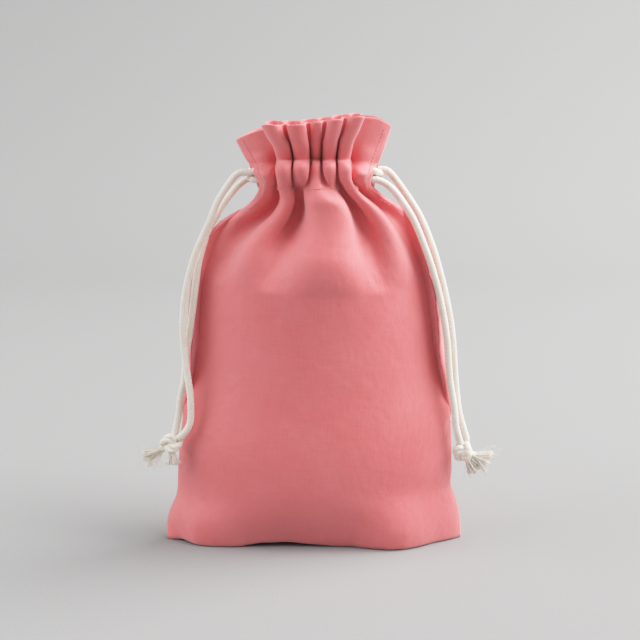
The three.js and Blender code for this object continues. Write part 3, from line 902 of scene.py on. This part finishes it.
def on_cloth(grid, across, up):
    """Points of the cloth at flat distances across and up it."""
    share = (np.asarray(across, float) + CLOTH_HALF) / (2 * CLOTH_HALF)
    j = np.clip(share * COLUMNS, 0, COLUMNS - 1e-6)
    i = np.clip(np.asarray(up, float) / up_cloth[-1] * ROWS, 0, ROWS - 1e-6)
    j0, i0 = j.astype(int), i.astype(int)
    fj, fi = (j - j0)[..., None], (i - i0)[..., None]
    low = grid[i0, j0] * (1 - fj) + grid[i0, j0 + 1] * fj
    high = grid[i0 + 1, j0] * (1 - fj) + grid[i0 + 1, j0 + 1] * fj
    return low * (1 - fi) + high * fi


def stitch_row(grid, sign, start, end, pitch=2.6, stitch=2.0, lift=0.22, thick=0.22):
    """A row of straight stitches between two places on the flat cloth."""
    start, end = np.array(start, float), np.array(end, float)
    length = np.linalg.norm(end - start)
    parts = []
    for k in range(int(length / pitch)):
        t = np.linspace(k * pitch, k * pitch + stitch, 6) / length
        place = start + (end - start) * t[:, None]
        line = on_cloth(grid, place[:, 0], place[:, 1])
        x, y = place.T
        right = on_cloth(grid, x + 0.8, y) - on_cloth(grid, x - 0.8, y)
        over = on_cloth(grid, x, y + 0.8) - on_cloth(grid, x, y - 0.8)
        outward = unit(np.cross(right, over)) * (-sign if sign > 0 else 1)
        rise = lift + 0.1 * np.sin(math.pi * np.linspace(0, 1, 6))
        line = line + outward * (rise[:, None] - 0.15 * (np.abs(np.linspace(-1, 1, 6)) > 0.9)[:, None])
        width = thick * np.array([0.55, 1, 1.05, 1.05, 1, 0.55])[:, None]
        parts.append(tube_mesh(line * MM, np.repeat(width, 6, 1) * MM, 6))
    return join_parts(parts)


def add_stitches(name, mesh):
    piece = add_mesh(name, *mesh, THREAD)
    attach(piece, "sack")
    return piece


def add_stitching():
    top = BODY_LENGTH + CHANNEL_LENGTH
    for face, grid, sign in (("front", front_cloth, -1), ("back", back_cloth, 1)):
        for row, up in (("lower", BODY_LENGTH + 0.6), ("upper", top + 1.2)):
            line = stitch_row(grid, sign, (-STITCH_END, up), (STITCH_END, up))
            piece = add_stitches(f"{face}_{row}_stitches", line)
            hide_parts(f"{face}_{row}_stitch")
        for side, edge in (("left", -HEM_STITCH), ("right", HEM_STITCH)):
            line = stitch_row(grid, sign, (edge, SLIT_START - 6), (edge, up_cloth[-1] - 3))
            piece = add_stitches(f"{face}_{side}_slit_stitches", line)
            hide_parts(f"{face}_{side}_slit_stitch")
    for side, edge in (("left", -99.2), ("right", 99.2)):
        line = stitch_row(front_cloth, 1, (edge, 4), (edge, SLIT_START), lift=SEAM_LIFT)
        piece = add_stitches(f"{side}_seam_stitches", line)
        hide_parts(f"{side}_seam_thread")
    line = stitch_row(front_cloth, 1, (-STITCH_END, 1), (STITCH_END, 1), lift=SEAM_LIFT)
    piece = add_stitches("bottom_seam_stitches", line)
    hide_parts("bottom_seam_thread")


add_stitching()

# ---------- studio ----------


def add_backdrop():
    """A seamless sweep: floor, a round turn and a wall, in one sheet."""
    radius, back, front, half = 0.9, 1.2, -2.4, 3.2
    profile = [(front, 0.0), (back, 0.0)]
    for step in range(1, 17):
        angle = step / 16 * math.pi / 2
        profile.append((back + radius * math.sin(angle), radius * (1 - math.cos(angle))))
    profile.append((back + radius, 3.4))
    vertices = [(x, y, z) for y, z in profile for x in (-half, half)]
    faces = [(2 * i, 2 * i + 1, 2 * i + 3, 2 * i + 2) for i in range(len(profile) - 1)]
    add_mesh("studio_sweep", vertices, faces, backdrop_material())


def add_area_light(name, place, size, power, color):
    light = bpy.data.lights.new(name, "AREA")
    light.shape = "DISK"
    light.size = size
    light.energy = power
    light.color = color
    lamp = bpy.data.objects.new(name, light)
    lamp.location = place
    lamp.rotation_euler = (Vector(LIGHTS_AIM) - Vector(place)).to_track_quat("-Z", "Y").to_euler()
    bpy.context.scene.collection.objects.link(lamp)


# Name, place, size in metres, watts and colour
LIGHTS = (
    ("window", (1.75, 0.1, 2.1), 3.0, 155, (1.0, 0.99, 0.98)),
    ("fill", (-1.9, -0.35, 1.1), 2.0, 26, (1, 1, 1)),
)
LIGHTS_AIM = (0, 0, 0.14)
# Strengths of the sky: towards the camera, and above and behind the sack
SKY_FRONT, SKY_TOP = 0.20, 0.92
# Brightness in and out: bright tones are held back, as on film
TONE_WHITE = 1.4
TONE_CURVE = ((0.2, 0.28), (0.4, 0.56), (0.6, 0.745), (0.8, 0.86), (1.0, 0.93))


def add_sky():
    world = bpy.data.worlds.new("studio")
    bpy.context.scene.world = world
    world.use_nodes = True
    tree = world.node_tree
    place = tree.nodes.new("ShaderNodeTexCoord")
    parts = tree.nodes.new("ShaderNodeSeparateXYZ")
    strength = tree.nodes.new("ShaderNodeMapRange")
    for socket, value in zip(list(strength.inputs)[1:5], (-1.0, 1.3, SKY_FRONT, SKY_TOP)):
        socket.default_value = value
    above = tree.nodes.new("ShaderNodeMath")
    above.operation = "MULTIPLY_ADD"
    above.inputs[1].default_value = 1.2
    tree.links.new(place.outputs["Generated"], parts.inputs[0])
    tree.links.new(parts.outputs[2], above.inputs[0])
    tree.links.new(parts.outputs[1], above.inputs[2])
    tree.links.new(above.outputs[0], strength.inputs[0])
    tree.links.new(strength.outputs[0], tree.nodes["Background"].inputs["Strength"])
    tree.nodes["Background"].inputs["Color"].default_value = (0.985, 0.99, 1.0, 1)


def set_tones():
    view = bpy.context.scene.view_settings
    view.view_transform = "Standard"
    view.use_curve_mapping = True
    view.curve_mapping.white_level = (TONE_WHITE, TONE_WHITE, TONE_WHITE)
    curve = view.curve_mapping.curves[3]
    curve.points[1].location = TONE_CURVE[-1]
    for tone in TONE_CURVE[:-1]:
        curve.points.new(*tone)
    view.curve_mapping.update()


def add_studio():
    add_backdrop()
    for light in LIGHTS:
        add_area_light(*light)
    add_sky()
    set_tones()


add_studio()
